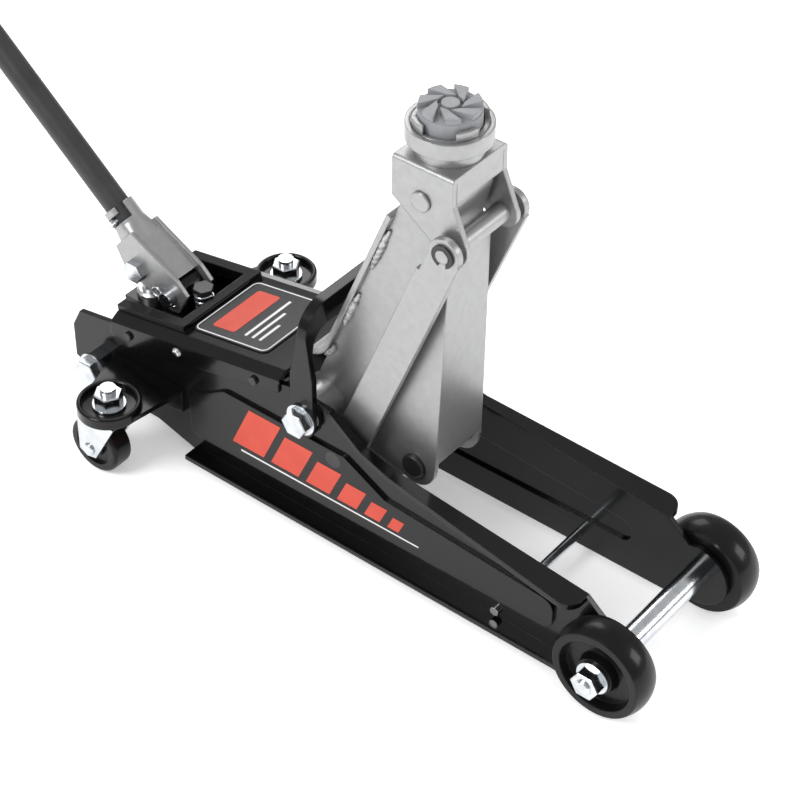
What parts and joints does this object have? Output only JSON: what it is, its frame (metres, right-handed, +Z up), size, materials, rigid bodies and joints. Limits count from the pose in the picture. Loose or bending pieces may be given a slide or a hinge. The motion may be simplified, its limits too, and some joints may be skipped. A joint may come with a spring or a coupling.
{
  "type": "trolley jack",
  "caption": "Low trolley jack with a hydraulic lift arm that keeps its saddle level, rolling on front wheels and rear casters and pumped by a tube handle.",
  "frame": {"origin": "on the ground, at the middle of the overall length and width, arm raised", "axes": "+X toward the front wheels, +Y to the far side of the picture, +Z up"},
  "size_m": [0.9556, 0.246, 0.5169],
  "materials": {
    "black_paint": "gloss black powder coat",
    "silver_paint": "satin silver paint",
    "zinc": "bright zinc plate",
    "machined_steel": "ground steel",
    "black_oxide": "black oxide",
    "wheel_black": "black enamel",
    "handle_paint": "satin dark grey",
    "grip_rubber": "matt",
    "pad_grey": "moulded grey rubber",
    "label_print": "printed plate"
  },
  "bodies": {
    "base": {"side_plate_near": "black_paint", "side_plate_far": "black_paint", "front_axle": "zinc", "axle_washers": "zinc", "axle_nuts": "zinc", "cross_rod": "zinc", "rear_cross_plate": "black_paint", "rear_bracket_near": "black_paint", "rear_bracket_far": "black_paint", "tie_bolts": "zinc", "pivot_shaft": "machined_steel", "carry_handle": "black_paint", "pivot_bolts": "zinc", "link_pins": "black_oxide", "pump_block": "black_paint", "oil_tank": "black_paint", "ram_cylinder": "machined_steel", "gland_nut": "black_oxide", "pump_cylinder": "machined_steel", "top_cover": "black_paint", "label_plate": "label_print", "frame_screws": "black_oxide"},
    "arm": {"lift_arm": "silver_paint", "arm_back_plate": "silver_paint", "pivot_sleeve": "silver_paint", "ram_pin": "black_oxide", "saddle_pin": "zinc"},
    "links": {"link_bar_near": "silver_paint", "link_bar_far": "silver_paint"},
    "bracket": {"saddle_bracket": "silver_paint", "link_rod": "zinc", "rod_clips": "black_oxide", "saddle_collar": "silver_paint"},
    "saddle": {"saddle_cup": "silver_paint", "saddle_pad": "pad_grey"},
    "ram": {"ram_rod": "machined_steel", "ram_head": "machined_steel"},
    "push_link": {"ram_links": "silver_paint", "push_roller": "machined_steel"},
    "socket": {"handle_socket": "silver_paint", "socket_pin": "zinc", "lobe_bolt": "zinc", "lobe_roller": "machined_steel"},
    "handle": {"handle_lower": "handle_paint", "handle_upper": "handle_paint", "grip": "grip_rubber", "bayonet_pin": "zinc"},
    "plunger": {"plunger": "machined_steel"},
    "release_valve": {"release_stem": "black_oxide", "release_spring": "zinc"},
    "wheel_near": {"front_wheel_near": "wheel_black"},
    "wheel_far": {"front_wheel_far": "wheel_black"},
    "caster_near": {"caster_fork_near": "zinc", "caster_pin_near": "zinc", "caster_nut_near": "zinc"},
    "caster_far": {"caster_fork_far": "zinc", "caster_pin_far": "zinc", "caster_nut_far": "zinc"},
    "caster_roll_near": {"caster_wheel_near": "wheel_black"},
    "caster_roll_far": {"caster_wheel_far": "wheel_black"}
  },
  "joints": [
    {"name": "arm_lift", "type": "hinge", "parent": "base", "child": "arm", "pos_m": [0.17284, 0, 0.103], "axis": [0, 1, 0], "range_deg": [0, 75]},
    {"name": "link_swing", "type": "hinge", "parent": "base", "child": "links", "pos_m": [0.19834, 0, 0.077], "axis": [0, 1, 0], "range_deg": [0, 75]},
    {"name": "saddle_level", "type": "hinge", "parent": "arm", "child": "bracket", "pos_m": [0.25484, 0, 0.313], "axis": [0, 1, 0], "range_deg": [-75, 0]},
    {"name": "saddle_spin", "type": "hinge", "parent": "bracket", "child": "saddle", "pos_m": [0.25484, 0, 0.36], "axis": [0, 0, 1], "continuous": true},
    {"name": "ram_stroke", "type": "slide", "parent": "base", "child": "ram", "axis": [1, 0, 0], "range_m": [-0.07955, 0]},
    {"name": "push_link_swing", "type": "hinge", "parent": "arm", "child": "push_link", "pos_m": [0.25084, 0, 0.084], "axis": [0, 1, 0], "range_deg": [-12.5, 0]},
    {"name": "handle_pump", "type": "hinge", "parent": "base", "child": "socket", "pos_m": [0.00984, 0, 0.106], "axis": [0, 1, 0], "range_deg": [-15, 22]},
    {"name": "handle_twist", "type": "hinge", "parent": "socket", "child": "handle", "pos_m": [-0.01316, 0, 0.1173], "axis": [-0.7604, 0, 0.6494], "range_deg": [0, 60]},
    {"name": "plunger_stroke", "type": "slide", "parent": "base", "child": "plunger", "axis": [0, 0, 1], "range_m": [-0.00825, 0.0121]},
    {"name": "release_turn", "type": "hinge", "parent": "base", "child": "release_valve", "pos_m": [0.02984, 0, 0.095], "axis": [0, 0, 1], "range_deg": [0, 60]},
    {"name": "wheel_near_roll", "type": "hinge", "parent": "base", "child": "wheel_near", "pos_m": [0.44084, -0.064, 0.037], "axis": [0, 1, 0], "continuous": true},
    {"name": "wheel_far_roll", "type": "hinge", "parent": "base", "child": "wheel_far", "pos_m": [0.44084, 0.064, 0.037], "axis": [0, 1, 0], "continuous": true},
    {"name": "caster_near_swivel", "type": "hinge", "parent": "base", "child": "caster_near", "pos_m": [0.02384, -0.099, 0.06], "axis": [0, 0, 1], "continuous": true},
    {"name": "caster_near_roll", "type": "hinge", "parent": "caster_near", "child": "caster_roll_near", "pos_m": [0.01184, -0.099, 0.023], "axis": [0, 1, 0], "continuous": true},
    {"name": "caster_far_swivel", "type": "hinge", "parent": "base", "child": "caster_far", "pos_m": [0.02384, 0.099, 0.06], "axis": [0, 0, 1], "continuous": true},
    {"name": "caster_far_roll", "type": "hinge", "parent": "caster_far", "child": "caster_roll_far", "pos_m": [0.01184, 0.099, 0.023], "axis": [0, 1, 0], "continuous": true}
  ],
  "couplings": [
    {"joint": "link_swing", "follows": "arm_lift", "ratio": 1},
    {"joint": "saddle_level", "follows": "arm_lift", "ratio": -1},
    {"joint": "ram_stroke", "follows": "arm_lift", "m_per_rad": -0.060773},
    {"joint": "push_link_swing", "follows": "arm_lift", "ratio": -0.16667},
    {"joint": "plunger_stroke", "follows": "handle_pump", "m_per_rad": 0.031513},
    {"joint": "release_turn", "follows": "handle_twist", "ratio": 1}
  ]
}
